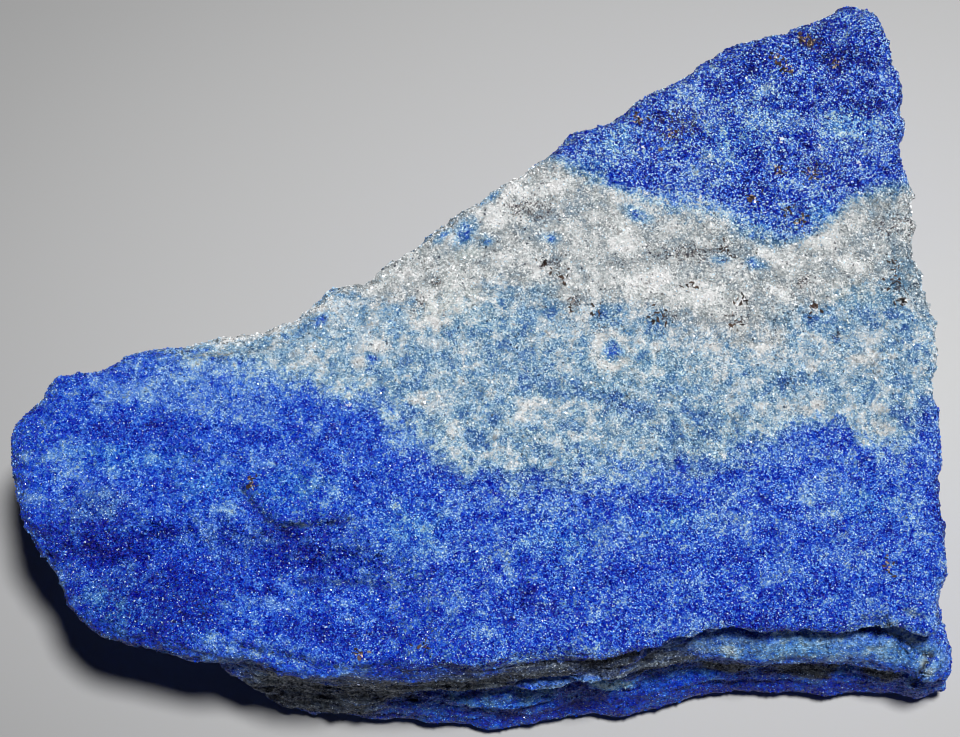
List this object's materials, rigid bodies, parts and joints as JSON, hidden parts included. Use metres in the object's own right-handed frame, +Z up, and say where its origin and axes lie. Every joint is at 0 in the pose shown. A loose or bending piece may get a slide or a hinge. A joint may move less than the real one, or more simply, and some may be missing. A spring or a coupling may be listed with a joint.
{
  "type": "rough lapis lazuli",
  "caption": "Rough piece of lapis lazuli, a wedge-shaped slab of broken blue rock with a white calcite band, lying flat.",
  "frame": {"origin": "middle of the stone's outline seen from above, on the surface that it rests on", "axes": "+X along the long straight front edge towards the broad end, +Y away from that edge, +Z up"},
  "size_m": [0.0754, 0.0588, 0.0193],
  "materials": {
    "lapis": "matte"
  },
  "bodies": {
    "root": {"lapis_lazuli": "lapis"}
  },
  "joints": []
}
